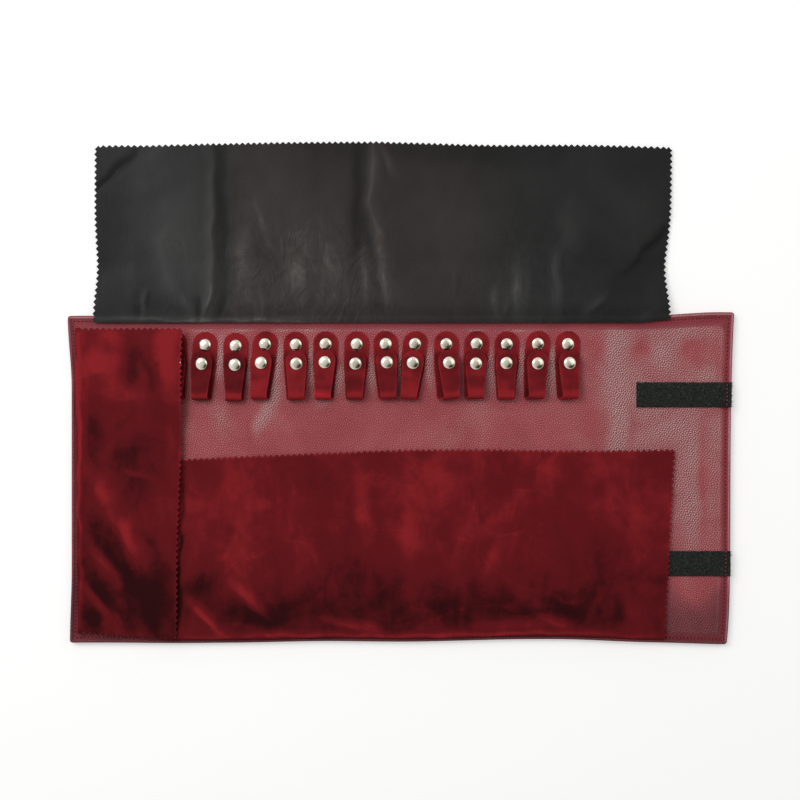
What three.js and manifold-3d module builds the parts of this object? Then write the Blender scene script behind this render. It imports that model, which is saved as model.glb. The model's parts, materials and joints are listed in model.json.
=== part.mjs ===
// A jewelry roll lying open: a padded panel that rolls up in five sections, a row of snap
// straps for chains, three pinked velvet flaps and two pairs of hook-and-loop tapes.
// Millimetres, +X along the panel, +Y towards the top flap, +Z up from the table.
import * as THREE from 'three';
import { mergeVertices } from 'three/addons/utils/BufferGeometryUtils.js';
import Module from 'manifold-3d';

const wasm = await Module();
wasm.setup();

// Panel: cover, padding and lining inside a turned edge
const PANEL_LENGTH = 530;
const PANEL_WIDTH = 262;
const PANEL_CORNER = 2.5;
const LEFT_END_TAPER = 2;
const RIGHT_END_TAPER = 4;
const COVER_SHEET = 0.9;
const PADDING = 2.0;
const LINING_SHEET = 0.9;
const EDGE_WALL = 1.0;
const EDGE_TURN = 6.4;
const EDGE_TURN_SHEET = 0.6;

// Clearances
const SLIP = 0.3;
const FOLD_GAP = 0.6;
const ROLL_CLEARANCE = 1.3;

// Snap straps
const STRAP_COUNT = 14;
const STRAP_PITCH = 24.4;
const FIRST_STRAP_FROM_END = 81.4;
const STRAP_FROM_TOP = 12;
const STRAP_LENGTH = 51;
const STRAP_WIDTH = 20;
const STRAP_SHEET = 1.0;
const LEAF_WIDTH = 16;
const LEAF_LENGTH = 35;
const LEAF_FOLD_RADIUS = 3.4;
const RIVET_FROM_END = 10.6;
const SNAP_FROM_END = 10.2;
const CAP_RADIUS = 5;
const CAP_HEIGHT = 1.6;
const SNAP_BASE_RADIUS = 4.4;
const SNAP_BASE_SHEET = 0.6;
const STUD_RADIUS = 1.9;
const STUD_HEIGHT = 1.4;
const SOCKET_RADIUS = 4.2;
const SOCKET_DEPTH = 1.6;

// Flaps
const FLAP_SHEET = 1.2;
const FLAP_BEAD_RADIUS = 1.6;
const PINK_PITCH = 4.75;
const PINK_DEPTH = 2.0;
const TOP_FLAP_FROM_LEFT = 20.6;
const TOP_FLAP_LENGTH = 462;
const TOP_FLAP_OVERHANG = 136;
const TOP_SEAM_FROM_EDGE = 5.6;
const TOP_FLAP_DROOP = 26;
const BOTTOM_FLAP_FROM_RIGHT = 47;
const BOTTOM_FLAP_TAPER = 8;
const BOTTOM_FLAP_REACH = 147;
const BOTTOM_FOLD_FROM_EDGE = 6;
const LEFT_FLAP_REACH = 87.8;
const LEFT_FLAP_TAPER = 6.2;
const LEFT_FOLD_FROM_END = 5;
const LEFT_FLAP_FROM_EDGE = 3;
const LEFT_FLAP_FROM_TOP = 8;

// Hook-and-loop tapes
const TAPE_WIDTH = 20;
const TAPE_LENGTH = 75;
const LOOP_TAPE_SHEET = 1.6;
const HOOK_TAPE_SHEET = 1.2;
const TAPE_FROM_END = 1;
const UPPER_TAPE_FROM_TOP = 63.2;
const TAPE_SPACING = 135;

// Levels, from the table up
const coverBottom = HOOK_TAPE_SHEET;
const paddingBottom = coverBottom + COVER_SHEET;
const liningBottom = paddingBottom + PADDING;
const liningTop = liningBottom + LINING_SHEET;
const edgeTop = liningTop + EDGE_TURN_SHEET;
const strapTop = liningTop + STRAP_SHEET;

// The top flap lies open behind the panel, and both share one centred box
const panelBottom = -(PANEL_WIDTH + TOP_FLAP_OVERHANG) / 2;
const panelTop = panelBottom + PANEL_WIDTH;
const panelLeft = -PANEL_LENGTH / 2;
const panelRight = PANEL_LENGTH / 2;

// Straps and fold lines: a fold runs between two straps, and the last one lets the end
// section close over the rolled-up first section
const strapX = (place) => panelLeft + FIRST_STRAP_FROM_END + STRAP_PITCH * place;
const foldY = panelTop - STRAP_FROM_TOP - STRAP_LENGTH;
const firstFold = strapX(0.5);
const secondFold = strapX(4.5);
const thirdFold = strapX(9.5);
const rolledHeight = secondFold - firstFold + liningTop + LOOP_TAPE_SHEET;
const fourthFold = thirdFold + rolledHeight + ROLL_CLEARANCE;
const sectionEnds = [panelLeft, firstFold, secondFold, thirdFold, fourthFold, panelRight];
const strapsEndSection = [0, 4, 9, STRAP_COUNT - 1];

// Finishes
const FINISH = {
  leather: { color: 0x914450, roughness: 0.55, metalness: 0 },
  foam: { color: 0xd8d2c4, roughness: 0.95, metalness: 0 },
  velvet: { color: 0x731a20, roughness: 0.9, metalness: 0 },
  satin: { color: 0x30302f, roughness: 0.5, metalness: 0 },
  tape: { color: 0x1c201e, roughness: 0.95, metalness: 0 },
};

// Solids

function solid(geometry) {
  const bare = geometry.clone();
  bare.deleteAttribute('normal');
  bare.deleteAttribute('uv');
  const merged = mergeVertices(bare, 1e-5);
  const index = merged.index.array;
  const triangles = [];
  for (let i = 0; i < index.length; i += 3) {
    const [a, b, c] = [index[i], index[i + 1], index[i + 2]];
    if (a !== b && b !== c && c !== a) {
      triangles.push(a, b, c);
    }
  }
  const vertProperties = new Float32Array(merged.attributes.position.array);
  const triVerts = new Uint32Array(triangles);
  return new wasm.Manifold(new wasm.Mesh({ numProp: 3, vertProperties, triVerts }));
}

function meshGeometry(body) {
  const { vertProperties, triVerts } = body.getMesh();
  const geometry = new THREE.BufferGeometry();
  geometry.setAttribute('position', new THREE.BufferAttribute(vertProperties, 3));
  geometry.setIndex(new THREE.BufferAttribute(triVerts, 1));
  geometry.computeVertexNormals();
  return geometry;
}

function prism(shape, bottom, top) {
  const options = { depth: top - bottom, bevelEnabled: false, curveSegments: 5 };
  return solid(new THREE.ExtrudeGeometry(shape, options).translate(0, 0, bottom));
}

function box(x0, x1, y0, y1, z0, z1) {
  const geometry = new THREE.BoxGeometry(x1 - x0, y1 - y0, z1 - z0);
  return solid(geometry.translate((x0 + x1) / 2, (y0 + y1) / 2, (z0 + z1) / 2));
}

// A side profile drawn in Y and Z, run along X
function runAlongX(profile, x0, x1) {
  const options = { depth: x1 - x0, bevelEnabled: false };
  const geometry = new THREE.ExtrudeGeometry(new THREE.Shape(profile), options);
  const turn = new THREE.Matrix4().makeBasis(
    new THREE.Vector3(0, 1, 0), new THREE.Vector3(0, 0, 1), new THREE.Vector3(1, 0, 0));
  return solid(geometry.applyMatrix4(turn).translate(x0, 0, 0));
}

// A side profile drawn in X and Z, run along Y
function runAlongY(profile, y0, y1) {
  const options = { depth: y1 - y0, bevelEnabled: false };
  const geometry = new THREE.ExtrudeGeometry(new THREE.Shape(profile), options);
  return solid(geometry.rotateX(Math.PI / 2).translate(0, y1, 0));
}

function turned(profile, x, y, z) {
  const points = profile.map(([radius, height]) => new THREE.Vector2(radius, height));
  const geometry = new THREE.LatheGeometry(points, 12);
  return solid(geometry.rotateX(Math.PI / 2).translate(x, y, z));
}

// A sheet of even thickness along a centre line, as a closed profile
function ribbon(line, thickness) {
  const sides = [[], []];
  line.forEach((point, i) => {
    const before = line[Math.max(i - 1, 0)];
    const after = line[Math.min(i + 1, line.length - 1)];
    const along = after.clone().sub(before).normalize();
    const out = new THREE.Vector2(-along.y, along.x).multiplyScalar(thickness / 2);
    sides[0].push(point.clone().sub(out));
    sides[1].push(point.clone().add(out));
  });
  return [...sides[0], ...sides[1].reverse()];
}

// A line that leaves one level and settles on another, level at both ends
function settlingCurve(x0, z0, x1, z1, steps) {
  const reach = (x1 - x0) / 2;
  const curve = new THREE.CubicBezierCurve(
    new THREE.Vector2(x0, z0), new THREE.Vector2(x0 + reach, z0),
    new THREE.Vector2(x1 - reach, z1), new THREE.Vector2(x1, z1));
  return curve.getPoints(steps);
}

// Outline with corners given anticlockwise; a pinked edge carries teeth that point outwards
function pinkedOutline(corners, pinked) {
  const outline = [];
  corners.forEach((corner, i) => {
    outline.push(corner);
    if (pinked[i]) {
      const next = corners[(i + 1) % corners.length];
      const span = next.clone().sub(corner);
      const teeth = Math.max(1, Math.round(span.length() / PINK_PITCH));
      const out = new THREE.Vector2(span.y, -span.x).setLength(PINK_DEPTH);
      for (let tooth = 0; tooth < teeth; tooth += 1) {
        const root = corner.clone().addScaledVector(span, tooth / teeth);
        const tip = corner.clone().addScaledVector(span, (tooth + 0.5) / teeth).add(out);
        if (tooth > 0) {
          outline.push(root);
        }
        outline.push(tip);
      }
    }
  });
  return new THREE.Shape(outline);
}

const at = (x, y) => new THREE.Vector2(x, y);
const tallPrism = (shape) => prism(shape, -1, 40);

// The part of a full-length piece that belongs to one panel section
function sectionOf(whole, section) {
  const first = section === 0;
  const last = section === sectionEnds.length - 2;
  const x0 = sectionEnds[section] + (first ? -FOLD_GAP : FOLD_GAP / 2);
  const x1 = sectionEnds[section + 1] + (last ? FOLD_GAP : -FOLD_GAP / 2);
  return whole.intersect(box(x0, x1, panelBottom - 1, -panelBottom + 1, -1, 40));
}

// Panel

function panelShape(inset) {
  const x0 = panelLeft + inset;
  const x1 = panelRight - inset;
  const y0 = panelBottom + inset;
  const y1 = panelTop - inset;
  const corner = PANEL_CORNER;
  const shape = new THREE.Shape();
  shape.moveTo(x0 + LEFT_END_TAPER + corner, y0);
  shape.lineTo(x1 - RIGHT_END_TAPER - corner, y0);
  shape.quadraticCurveTo(x1 - RIGHT_END_TAPER, y0, x1 - RIGHT_END_TAPER, y0 + corner);
  shape.lineTo(x1, y1 - corner);
  shape.quadraticCurveTo(x1, y1, x1 - corner, y1);
  shape.lineTo(x0 + corner, y1);
  shape.quadraticCurveTo(x0, y1, x0, y1 - corner);
  shape.lineTo(x0 + LEFT_END_TAPER, y0 + corner);
  shape.quadraticCurveTo(x0 + LEFT_END_TAPER, y0, x0 + LEFT_END_TAPER + corner, y0);
  return shape;
}

// The cover wraps the padding and turns over the lining's edge
const coverOutside = prism(panelShape(0), coverBottom, edgeTop);
const coverPocket = prism(panelShape(EDGE_WALL), paddingBottom, liningTop);
const coverMouth = prism(panelShape(EDGE_TURN), paddingBottom, edgeTop + 1);
const cover = coverOutside.subtract(coverPocket).subtract(coverMouth);
const padding = prism(panelShape(EDGE_WALL + SLIP), paddingBottom, liningBottom);
const lining = prism(panelShape(EDGE_WALL + SLIP), liningBottom, liningTop);

// Flaps

function topFlap() {
  const seam = panelTop - TOP_SEAM_FROM_EDGE;
  const far = panelTop + TOP_FLAP_OVERHANG;
  const high = edgeTop + SLIP + FLAP_SHEET / 2;
  const low = SLIP + FLAP_SHEET / 2;
  const line = [
    at(seam, high),
    ...settlingCurve(panelTop + 1, high, panelTop + 1 + TOP_FLAP_DROOP, low, 8),
    at(far + 1, low),
  ];
  const x0 = panelLeft + TOP_FLAP_FROM_LEFT;
  const x1 = x0 + TOP_FLAP_LENGTH;
  const left = x0 + PINK_DEPTH;
  const right = x1 - PINK_DEPTH;
  const outline = pinkedOutline(
    [at(left, seam), at(right, seam), at(right, far - PINK_DEPTH), at(left, far - PINK_DEPTH)],
    [false, true, true, true]);
  return runAlongX(ribbon(line, FLAP_SHEET), x0, x1).intersect(tallPrism(outline));
}

const beadHeight = edgeTop + SLIP + FLAP_BEAD_RADIUS;

function bottomFlap() {
  const fold = panelBottom + BOTTOM_FOLD_FROM_EDGE;
  const free = fold + BOTTOM_FLAP_REACH;
  const right = panelRight - BOTTOM_FLAP_FROM_RIGHT;
  const sheet = ribbon([at(fold, beadHeight), at(free, beadHeight)], FLAP_SHEET);
  const length = right - firstFold;
  const bead = new THREE.CylinderGeometry(FLAP_BEAD_RADIUS, FLAP_BEAD_RADIUS, length, 12);
  bead.rotateZ(Math.PI / 2).translate((right + firstFold) / 2, fold, beadHeight);
  const low = fold - FLAP_BEAD_RADIUS - SLIP;
  const outline = pinkedOutline([
    at(firstFold, low), at(right - BOTTOM_FLAP_TAPER - PINK_DEPTH, low),
    at(right - PINK_DEPTH, free - PINK_DEPTH), at(firstFold, free - PINK_DEPTH)],
  [false, true, true, false]);
  return runAlongX(sheet, firstFold, right).add(solid(bead)).intersect(tallPrism(outline));
}

// The left flap climbs from its fold and lies over the first strap's loop
function leftFlap() {
  const fold = panelLeft + LEFT_FOLD_FROM_END;
  const free = fold + LEFT_FLAP_REACH;
  const loopTop = strapTop + SLIP + 2 * LEAF_FOLD_RADIUS;
  const climbEnd = strapX(0) - STRAP_WIDTH / 2 - SLIP;
  const resting = loopTop + SLIP + FLAP_SHEET / 2;
  const climb = new THREE.QuadraticBezierCurve(
    at(fold, beadHeight), at(fold + (climbEnd - fold) * 0.4, beadHeight + 1.5), at(climbEnd, resting));
  const line = [...climb.getPoints(6), at(free, resting)];
  const y0 = panelBottom + LEFT_FLAP_FROM_EDGE;
  const y1 = panelTop - LEFT_FLAP_FROM_TOP;
  const bead = new THREE.CylinderGeometry(FLAP_BEAD_RADIUS, FLAP_BEAD_RADIUS, y1 - y0, 12);
  bead.translate(fold, (y0 + y1) / 2, beadHeight);
  const back = fold - FLAP_BEAD_RADIUS - SLIP;
  const outline = pinkedOutline([
    at(back, y0 + PINK_DEPTH), at(free - LEFT_FLAP_TAPER - PINK_DEPTH, y0 + PINK_DEPTH),
    at(free - PINK_DEPTH, y1 - PINK_DEPTH), at(back, y1 - PINK_DEPTH)],
  [true, true, true, false]);
  return runAlongY(ribbon(line, FLAP_SHEET), y0, y1).add(solid(bead)).intersect(tallPrism(outline));
}

// Straps, modelled at X = 0

// A strip with one round end, from its square end to the tip of the round one
function roundEnded(width, squareEnd, tip) {
  const shape = new THREE.Shape();
  shape.moveTo(width / 2, squareEnd);
  shape.lineTo(width / 2, tip - width / 2);
  shape.absarc(0, tip - width / 2, width / 2, 0, Math.PI, false);
  shape.lineTo(-width / 2, squareEnd);
  return shape;
}

function dome(radius, height, sunk) {
  return [
    [0, -sunk], [radius, -sunk], [radius, height * 0.35], [radius * 0.7, height * 0.88], [0, height],
  ];
}

const SUNK = STRAP_SHEET / 3;
const foldRise = strapTop + SLIP + LEAF_FOLD_RADIUS;
const leafTip = foldY + LEAF_LENGTH;
const snapY = leafTip - SNAP_FROM_END;
const snapPlay = SLIP + SNAP_BASE_SHEET;
const leafUnderside = strapTop + snapPlay + SOCKET_DEPTH;

// The back strip is riveted to the panel and carries the snap's stud
function strapBack() {
  const tip = panelTop - STRAP_FROM_TOP;
  const strip = prism(roundEnded(STRAP_WIDTH, foldY - LEAF_FOLD_RADIUS, tip), liningTop, strapTop);
  const rivet = turned(dome(CAP_RADIUS, CAP_HEIGHT, SUNK), 0, tip - RIVET_FROM_END, strapTop);
  const studTop = SNAP_BASE_SHEET + STUD_HEIGHT;
  const stud = turned([
    [0, -SUNK], [SNAP_BASE_RADIUS, -SUNK], [SNAP_BASE_RADIUS, SNAP_BASE_SHEET],
    [STUD_RADIUS, SNAP_BASE_SHEET], [STUD_RADIUS, studTop], [0, studTop],
  ], 0, snapY, strapTop);
  return strip.add(rivet).add(stud);
}

// The front leaf rolls over at the fold, runs back up and carries the cap and the socket
function strapFront() {
  const middle = LEAF_FOLD_RADIUS - STRAP_SHEET / 2;
  const line = [];
  for (let step = 0; step < 6; step += 1) {
    const angle = -Math.PI / 2 - Math.PI * step / 6;
    line.push(at(foldY + middle * Math.cos(angle), foldRise + middle * Math.sin(angle)));
  }
  const level = leafUnderside + STRAP_SHEET / 2;
  line.push(...settlingCurve(foldY, foldRise + middle, snapY - CAP_RADIUS, level, 5));
  line.push(at(leafTip, level));
  const leaf = runAlongX(ribbon(line, STRAP_SHEET), -LEAF_WIDTH / 2, LEAF_WIDTH / 2);
  const outline = roundEnded(LEAF_WIDTH, foldY - 2 * LEAF_FOLD_RADIUS, leafTip);
  const cap = turned(dome(CAP_RADIUS, CAP_HEIGHT, SUNK), 0, snapY, leafUnderside + STRAP_SHEET);
  const bore = STUD_RADIUS + SLIP;
  const socket = turned([
    [bore, 0], [SOCKET_RADIUS, 0], [SOCKET_RADIUS, SOCKET_DEPTH + SUNK],
    [bore, SOCKET_DEPTH + SUNK], [bore, 0],
  ], 0, snapY, leafUnderside - SOCKET_DEPTH);
  return leaf.intersect(tallPrism(outline)).add(cap).add(socket);
}

// Tapes: loop tapes on the lining at the right end, hook tapes on the back of the first section,
// where the end section brings the loops once the panel is rolled up

// Where the tapering right end lies at a height up the panel, drawn in by an inset
const rightEnd = (y, inset) => panelRight - inset - RIGHT_END_TAPER * (panelTop - y) / PANEL_WIDTH;
const upperTapeTop = panelTop - UPPER_TAPE_FROM_TOP + TAPE_WIDTH / 2;
const lowerTapeTop = upperTapeTop - TAPE_SPACING;
const loopTapeEnd = (tapeTop) => rightEnd(tapeTop - TAPE_WIDTH, TAPE_FROM_END);

// A loop tape lies on the lining and climbs onto the turned edge
function loopTape(tapeTop) {
  const end = loopTapeEnd(tapeTop);
  const start = end - TAPE_LENGTH;
  const turn = rightEnd(tapeTop - TAPE_WIDTH, EDGE_TURN + SLIP);
  const profile = [
    at(start, liningTop), at(turn, liningTop), at(turn, edgeTop), at(end, edgeTop),
    at(end, edgeTop + LOOP_TAPE_SHEET), at(turn, edgeTop + LOOP_TAPE_SHEET),
    at(turn - EDGE_TURN, liningTop + LOOP_TAPE_SHEET), at(start, liningTop + LOOP_TAPE_SHEET),
  ];
  return runAlongY(profile, tapeTop - TAPE_WIDTH, tapeTop);
}

// A hook tape lies where the loops from one X to another come down on the rolled-up section
const meetingLoops = (x) => firstFold + secondFold - thirdFold - fourthFold + x;

function hookTape(x0, x1, tapeTop) {
  return box(meetingLoops(x0), meetingLoops(x1), tapeTop - TAPE_WIDTH, tapeTop, 0, HOOK_TAPE_SHEET);
}

// Assembly

const roll = new THREE.Group();
const sections = sectionEnds.slice(1).map(() => new THREE.Group());
sections.forEach((group) => roll.add(group));

function addPiece(group, name, body, finish, x = 0) {
  const piece = new THREE.Mesh(meshGeometry(body), new THREE.MeshStandardMaterial(finish));
  piece.name = name;
  piece.position.x = x;
  group.add(piece);
}

const top = topFlap();
const bottom = bottomFlap();
sections.forEach((group, section) => {
  const number = section + 1;
  addPiece(group, `outer_cover_${number}`, sectionOf(cover, section), FINISH.leather);
  addPiece(group, `padding_${number}`, sectionOf(padding, section), FINISH.foam);
  addPiece(group, `lining_${number}`, sectionOf(lining, section), FINISH.leather);
  addPiece(group, `top_flap_${number}`, sectionOf(top, section), FINISH.satin);
  if (section > 0) {
    addPiece(group, `bottom_flap_${number}`, sectionOf(bottom, section), FINISH.velvet);
  }
});
addPiece(sections[0], 'left_flap', leftFlap(), FINISH.velvet);

const back = strapBack();
const front = strapFront();
for (let strap = 0; strap < STRAP_COUNT; strap += 1) {
  const group = sections[strapsEndSection.findIndex((last) => strap <= last)];
  const number = String(strap + 1).padStart(2, '0');
  addPiece(group, `strap_back_${number}`, back, FINISH.velvet, strapX(strap));
  addPiece(group, `strap_front_${number}`, front, FINISH.velvet, strapX(strap));
}

const upperEnd = loopTapeEnd(upperTapeTop);
const lowerEnd = loopTapeEnd(lowerTapeTop);
const lowerStart = panelRight - BOTTOM_FLAP_FROM_RIGHT + SLIP;
const upperHooks = hookTape(upperEnd - TAPE_LENGTH, upperEnd, upperTapeTop);
const lowerHooks = hookTape(lowerStart, lowerEnd, lowerTapeTop);
addPiece(sections[4], 'loop_tape_upper', loopTape(upperTapeTop), FINISH.tape);
addPiece(sections[4], 'loop_tape_lower', loopTape(lowerTapeTop), FINISH.tape);
addPiece(sections[0], 'hook_tape_upper', upperHooks, FINISH.tape);
addPiece(sections[0], 'hook_tape_lower', lowerHooks, FINISH.tape);

export default roll;
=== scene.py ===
"""Looks of an open jewelry roll: leather panel, pinked flaps, snap straps and loop tapes."""

import json
import math

import bmesh
import bpy
from mathutils import Matrix, Vector, noise
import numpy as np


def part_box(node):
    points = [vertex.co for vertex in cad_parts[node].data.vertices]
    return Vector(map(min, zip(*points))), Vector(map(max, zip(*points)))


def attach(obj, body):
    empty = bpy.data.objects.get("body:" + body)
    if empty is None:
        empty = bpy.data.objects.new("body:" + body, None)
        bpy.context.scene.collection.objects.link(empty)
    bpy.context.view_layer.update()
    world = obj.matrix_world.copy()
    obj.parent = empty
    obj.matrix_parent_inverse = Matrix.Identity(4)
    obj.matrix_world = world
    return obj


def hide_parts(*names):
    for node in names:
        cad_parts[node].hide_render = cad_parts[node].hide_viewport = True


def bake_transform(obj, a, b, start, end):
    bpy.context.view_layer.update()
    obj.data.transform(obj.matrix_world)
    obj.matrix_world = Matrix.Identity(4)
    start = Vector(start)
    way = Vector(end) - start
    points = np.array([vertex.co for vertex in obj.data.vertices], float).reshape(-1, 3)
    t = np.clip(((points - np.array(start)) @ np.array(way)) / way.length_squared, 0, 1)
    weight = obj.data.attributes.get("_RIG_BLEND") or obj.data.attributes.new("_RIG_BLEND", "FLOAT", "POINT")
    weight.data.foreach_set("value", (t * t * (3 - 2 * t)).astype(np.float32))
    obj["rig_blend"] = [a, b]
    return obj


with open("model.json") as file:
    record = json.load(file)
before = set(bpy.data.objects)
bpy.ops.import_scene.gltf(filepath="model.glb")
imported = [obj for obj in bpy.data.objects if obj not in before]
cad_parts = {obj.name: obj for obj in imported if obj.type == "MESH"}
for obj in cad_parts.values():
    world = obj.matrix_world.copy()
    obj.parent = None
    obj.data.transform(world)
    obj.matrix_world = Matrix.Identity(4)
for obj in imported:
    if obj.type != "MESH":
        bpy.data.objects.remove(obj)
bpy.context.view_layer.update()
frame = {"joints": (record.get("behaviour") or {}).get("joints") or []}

MM = 0.001

# Places taken from the frame, in millimetres
joint_at = {j["name"]: [v / MM for v in j["pos_m"]] for j in frame["joints"]}


def node_box(node):
    low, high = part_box(node)
    return low / MM, high / MM


LEFT = node_box("outer_cover_1")[0].x
RIGHT = node_box("outer_cover_5")[1].x
BOTTOM = node_box("outer_cover_3")[0].y
TOP = node_box("outer_cover_3")[1].y
COVER_Z = node_box("outer_cover_3")[0].z
LINING_Z = node_box("lining_3")[1].z
EDGE_Z = node_box("outer_cover_3")[1].z
FOLDS = [joint_at[name][0] for name in ("roll_up_first", "roll_up", "roll_up_fourth", "end_close")]
SECTION_ENDS = [LEFT, *FOLDS, RIGHT]

# Sizes of the looks, in millimetres
LEFT_TAPER = 2.0
CORNER = 2.4
FOLD_REACH = 14.0
STITCH_LINE = 4.5
STITCH_PITCH = 3.0
PINK_PITCH = 4.75
PINK_DEPTH = 2.0
PINK_FADE = (1.0, 0.62, 0.3, 0.1)
# Painted highlight along a flap's pinked cut edge
CUT_EDGE_HIGHLIGHT = 0.35
FLAP_THICKNESS = 0.8
TONGUE = 9.5
SHORT_TONGUE = 4.0
TONGUE_DROP = 0.32
TONGUE_SHARE = 0.25
STRAP_THICKNESS = 0.9
BACK_WIDTH = 19.4
LEAF_WIDTH = 17.0
LOOP_WIDTH = 14.8
LEAF_LOOP_WIDTH = 12.7


def smooth(low, high, value):
    t = min(1.0, max(0.0, (value - low) / (high - low)))
    return t * t * (3 - 2 * t)


def mix(a, b, t):
    return a + (b - a) * t


def hill(value, middle, width):
    """1 in the middle, falling off over this width on both sides."""
    return math.exp(-((value - middle) / width) ** 2)


def ripple(x, y, size, seed=0.0):
    """Soft unevenness between -1 and 1 with hills about this many millimetres across."""
    return noise.noise(Vector((x / size, y / size, seed)))


def strokes(x, y, table):
    """Sum of soft wandering strokes: each runs from one point to another with a width and a strength,
    is crisp on one side and fades on the other, and thins out towards its ends."""
    x, y = x + 2.6 * ripple(x, y, 17, 31.0), y + 2.6 * ripple(x, y, 17, 47.0)
    total = 0.0
    for x0, y0, x1, y1, width, strength in table:
        reach = 3.4 * width
        beside = x < min(x0, x1) - reach or x > max(x0, x1) + reach
        if beside or y < min(y0, y1) - reach or y > max(y0, y1) + reach:
            continue
        dx, dy = x1 - x0, y1 - y0
        t = ((x - x0) * dx + (y - y0) * dy) / (dx * dx + dy * dy)
        t = min(1.0, max(0.0, t))
        ox, oy = x - x0 - dx * t, y - y0 - dy * t
        side = 0.75 if ox * dy - oy * dx > 0 else 1.35
        away = math.hypot(ox, oy) / (width * side)
        total += strength * math.exp(-away * away) * (0.45 + 0.55 * math.sin(math.pi * t))
    return total


# Shader expressions


def arithmetic(operation, turned=False):
    """A method that joins a socket with another value, turned where the other one comes first."""
    def join(self, other):
        inputs = {0: other, 1: self} if turned else {0: self, 1: other}
        return self.finish.node("ShaderNodeMath", {"operation": operation}, inputs)
    return join


class Value:
    """A shader socket that can be used in arithmetic."""

    def __init__(self, finish, socket):
        self.finish = finish
        self.socket = socket

    __add__ = __radd__ = arithmetic("ADD")
    __sub__ = arithmetic("SUBTRACT")
    __rsub__ = arithmetic("SUBTRACT", turned=True)
    __mul__ = arithmetic("MULTIPLY")

    def between(self, low, high):
        """0 below low, 1 above high and smooth in between."""
        return self.finish.node(
            "ShaderNodeMapRange", {"interpolation_type": "SMOOTHSTEP"},
            {"Value": self, "From Min": low, "From Max": high})

    def near(self, middle, width):
        """1 at the middle, falling to 0 at this width on both sides."""
        away = self.finish.node("ShaderNodeMath", {"operation": "ABSOLUTE"}, {0: self - middle})
        return away.between(width, 0.0)


class Finish:
    """A material in the making, with one shader and any nodes that feed it."""

    def __init__(self, name, **shader):
        self.material = bpy.data.materials.new(name)
        self.material.use_nodes = True
        self.tree = self.material.node_tree
        self.shader = self.tree.nodes["Principled BSDF"]
        for socket, value in shader.items():
            self.shader.inputs[socket.replace("_", " ")].default_value = value

    def node(self, kind, settings, inputs, output=0):
        made = self.tree.nodes.new(kind)
        for name, value in settings.items():
            setattr(made, name, value)
        for key, value in inputs.items():
            self.link(made.inputs[key], value)
        return Value(self, made.outputs[output])

    def link(self, socket, value):
        if isinstance(value, Value):
            self.tree.links.new(value.socket, socket)
        else:
            socket.default_value = value

    def feed(self, **sockets):
        for name, value in sockets.items():
            self.link(self.shader.inputs[name.replace("_", " ")], value)

    def place(self):
        return self.node("ShaderNodeTexCoord", {}, {}, "Object")

    def stretched(self, vector, scale, turn=0.0):
        return self.node(
            "ShaderNodeMapping", {},
            {"Vector": vector, "Scale": scale, "Rotation": (0, 0, turn)})

    def clouds(self, vector, scale, detail=3.0, distortion=0.0, roughness=0.5):
        return self.node(
            "ShaderNodeTexNoise", {},
            {"Vector": vector, "Scale": scale, "Detail": detail,
             "Distortion": distortion, "Roughness": roughness})

    def cells(self, vector, scale, randomness=1.0, **settings):
        inputs = {"Vector": vector, "Scale": scale, "Randomness": randomness}
        return self.node("ShaderNodeTexVoronoi", settings, inputs, "Distance")

    def ray(self, kind):
        return self.node("ShaderNodeLightPath", {}, {}, kind)

    def painted(self, attribute):
        """A value kept on the mesh."""
        return self.node("ShaderNodeAttribute", {"attribute_name": attribute}, {}, "Fac")

    def blend_colour(self, amount, first, second):
        inputs = {"Factor": amount, 6: first, 7: second}
        return self.node("ShaderNodeMix", {"data_type": "RGBA", "clamp_factor": True}, inputs, 2)

    def layered(self, colour, *layers):
        """A colour with others laid over it one by one, each in its own amount."""
        for amount, over in layers:
            colour = self.blend_colour(amount, colour, over)
        return colour

    def done(self, colour, roughness, bump=()):
        """Feeds the shader and gives its material. A bump has a height, a strength and a distance."""
        self.feed(Base_Color=colour, Roughness=roughness)
        if bump:
            inputs = dict(zip(("Height", "Strength", "Distance"), bump))
            self.feed(Normal=self.node("ShaderNodeBump", {}, inputs))
        return self.material


def srgb(red, green, blue):
    """A colour given in 0 to 255 steps, for a shader."""
    linear = [((c / 255 + 0.055) / 1.055) ** 2.4 if c > 10 else c / 255 / 12.92 for c in (red, green, blue)]
    return (*linear, 1.0)


# Finishes


PEBBLES_PER_METRE = 545
PEBBLE_DISORDER = 0.85
GRAIN_TURN = 0.6
# How far the grain is stepped towards the key lamp, to paint lit and shaded pebble sides
STEP_TO_LIGHT = (-0.00048, 0.00048, 0)


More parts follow.
